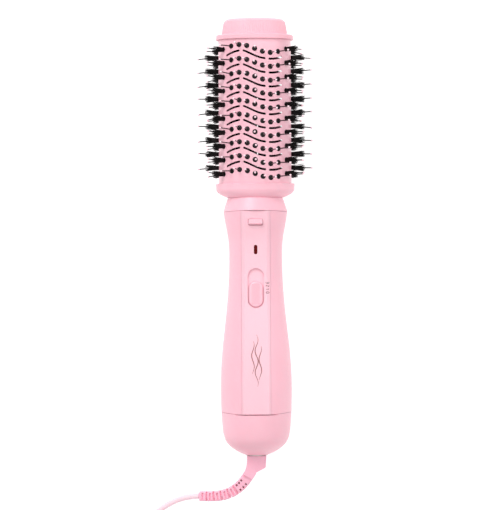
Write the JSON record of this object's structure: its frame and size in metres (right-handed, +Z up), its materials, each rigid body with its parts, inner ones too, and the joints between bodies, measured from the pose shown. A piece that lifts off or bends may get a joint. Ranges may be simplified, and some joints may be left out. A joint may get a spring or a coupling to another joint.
{
  "type": "hot air brush",
  "caption": "Corded hot air styling brush: waisted handle with slide switch, plug-in oval vented brush head with ball-tipped pins, side tufts and a cool tip.",
  "frame": {"origin": "middle of the brush's footprint on the surface it lies on, cord left out", "axes": "+Y along the tool towards the brush head, +Z up out of the switch side, +X to the right seen from above"},
  "size_m": [0.1585, 0.5009, 0.0849],
  "materials": {
    "casing_plastic": "satin pale pink",
    "panel_plastic": "satin pale pink",
    "control_plastic": "satin pink",
    "head_plastic": "satin pale pink",
    "cap_plastic": "satin pink",
    "barrel_coat": "satin pink ceramic coat",
    "pin_nylon": "black nylon",
    "tuft_fibre": "black nylon bristle",
    "core_plastic": "black heat-proof plastic",
    "relief_plastic": "soft pink",
    "cord_jacket": "pink PVC",
    "plug_plastic": "pink moulded",
    "pin_metal": "nickel-plated brass",
    "lens_red": "dark red window",
    "lamp": "red lamp",
    "spring_steel": "bright",
    "inner_plastic": "moulded",
    "motor_steel": "zinc plated",
    "magnet": "ferrite",
    "board": "green laminate",
    "components": "black",
    "mica": "mica",
    "nichrome": "wire",
    "lead_jacket": "insulated"
  },
  "bodies": {
    "cord": {"swivel_spindle": "inner_plastic", "swivel_clip": "spring_steel", "strain_relief": "relief_plastic", "cord": "cord_jacket", "cord_coil": "cord_jacket", "plug_lead": "cord_jacket", "plug_body": "plug_plastic", "plug_pins": "pin_metal"},
    "handle": {"handle_front_shell": "casing_plastic", "handle_back_shell": "casing_plastic", "control_panel": "panel_plastic", "tail_cap": "casing_plastic", "intake_filter": "inner_plastic", "swivel_bush": "inner_plastic", "switch_body": "components", "circuit_board": "board", "board_components": "components", "indicator_lens": "lens_red", "indicator_lamp": "lamp", "button_spring": "spring_steel", "head_socket": "inner_plastic", "fan_housing": "inner_plastic", "motor_can": "motor_steel", "motor_magnets": "magnet", "motor_end_cap": "inner_plastic", "heater_sleeve": "mica", "mica_cross": "mica", "heating_coil": "nichrome", "outlet_guard": "inner_plastic", "thermostat": "spring_steel", "thermal_fuse": "nichrome", "mains_leads": "lead_jacket", "casing_screws": "spring_steel"},
    "switch_knob": {"slide_knob": "control_plastic", "switch_carrier": "control_plastic"},
    "release_button": {"release_button": "control_plastic"},
    "rotor": {"motor_shaft": "spring_steel", "armature": "motor_steel", "fan_impeller": "inner_plastic"},
    "brush_head": {"head_skirt": "head_plastic", "neck_collar": "casing_plastic", "catch_leaf": "spring_steel", "base_ring": "head_plastic", "air_core": "core_plastic", "tie_rod": "spring_steel", "rod_spider": "core_plastic", "top_flange": "cap_plastic", "tie_nut": "spring_steel", "cool_tip": "cap_plastic", "barrel": "barrel_coat", "front_pin_combs": "pin_nylon", "back_pin_combs": "pin_nylon", "left_pin_combs": "pin_nylon", "right_pin_combs": "pin_nylon", "left_tufts": "tuft_fibre", "right_tufts": "tuft_fibre"}
  },
  "joints": [
    {"name": "cord_swivel", "type": "hinge", "parent": "cord", "child": "handle", "pos_m": [0, -0.17406, 0.02595], "axis": [0, 0.9982, 0.0597], "continuous": true},
    {"name": "switch_slide", "type": "slide", "parent": "handle", "child": "switch_knob", "axis": [0, 1, -0.0023], "range_m": [0, 0.0078]},
    {"name": "release_button_press", "type": "slide", "parent": "handle", "child": "release_button", "axis": [0, 0.0597, -0.9982], "range_m": [0, 0.0012], "stiffness_N_per_m": 1000, "springref_m": -0.0006, "deforming": ["button_spring"]},
    {"name": "fan_spin", "type": "hinge", "parent": "handle", "child": "rotor", "pos_m": [0, -0.17406, 0.02595], "axis": [0, 0.9982, 0.0597], "continuous": true},
    {"name": "head_release", "type": "slide", "parent": "handle", "child": "brush_head", "axis": [0, 0.9982, 0.0597], "range_m": [0, 0.03], "deforming": ["catch_leaf"]}
  ]
}
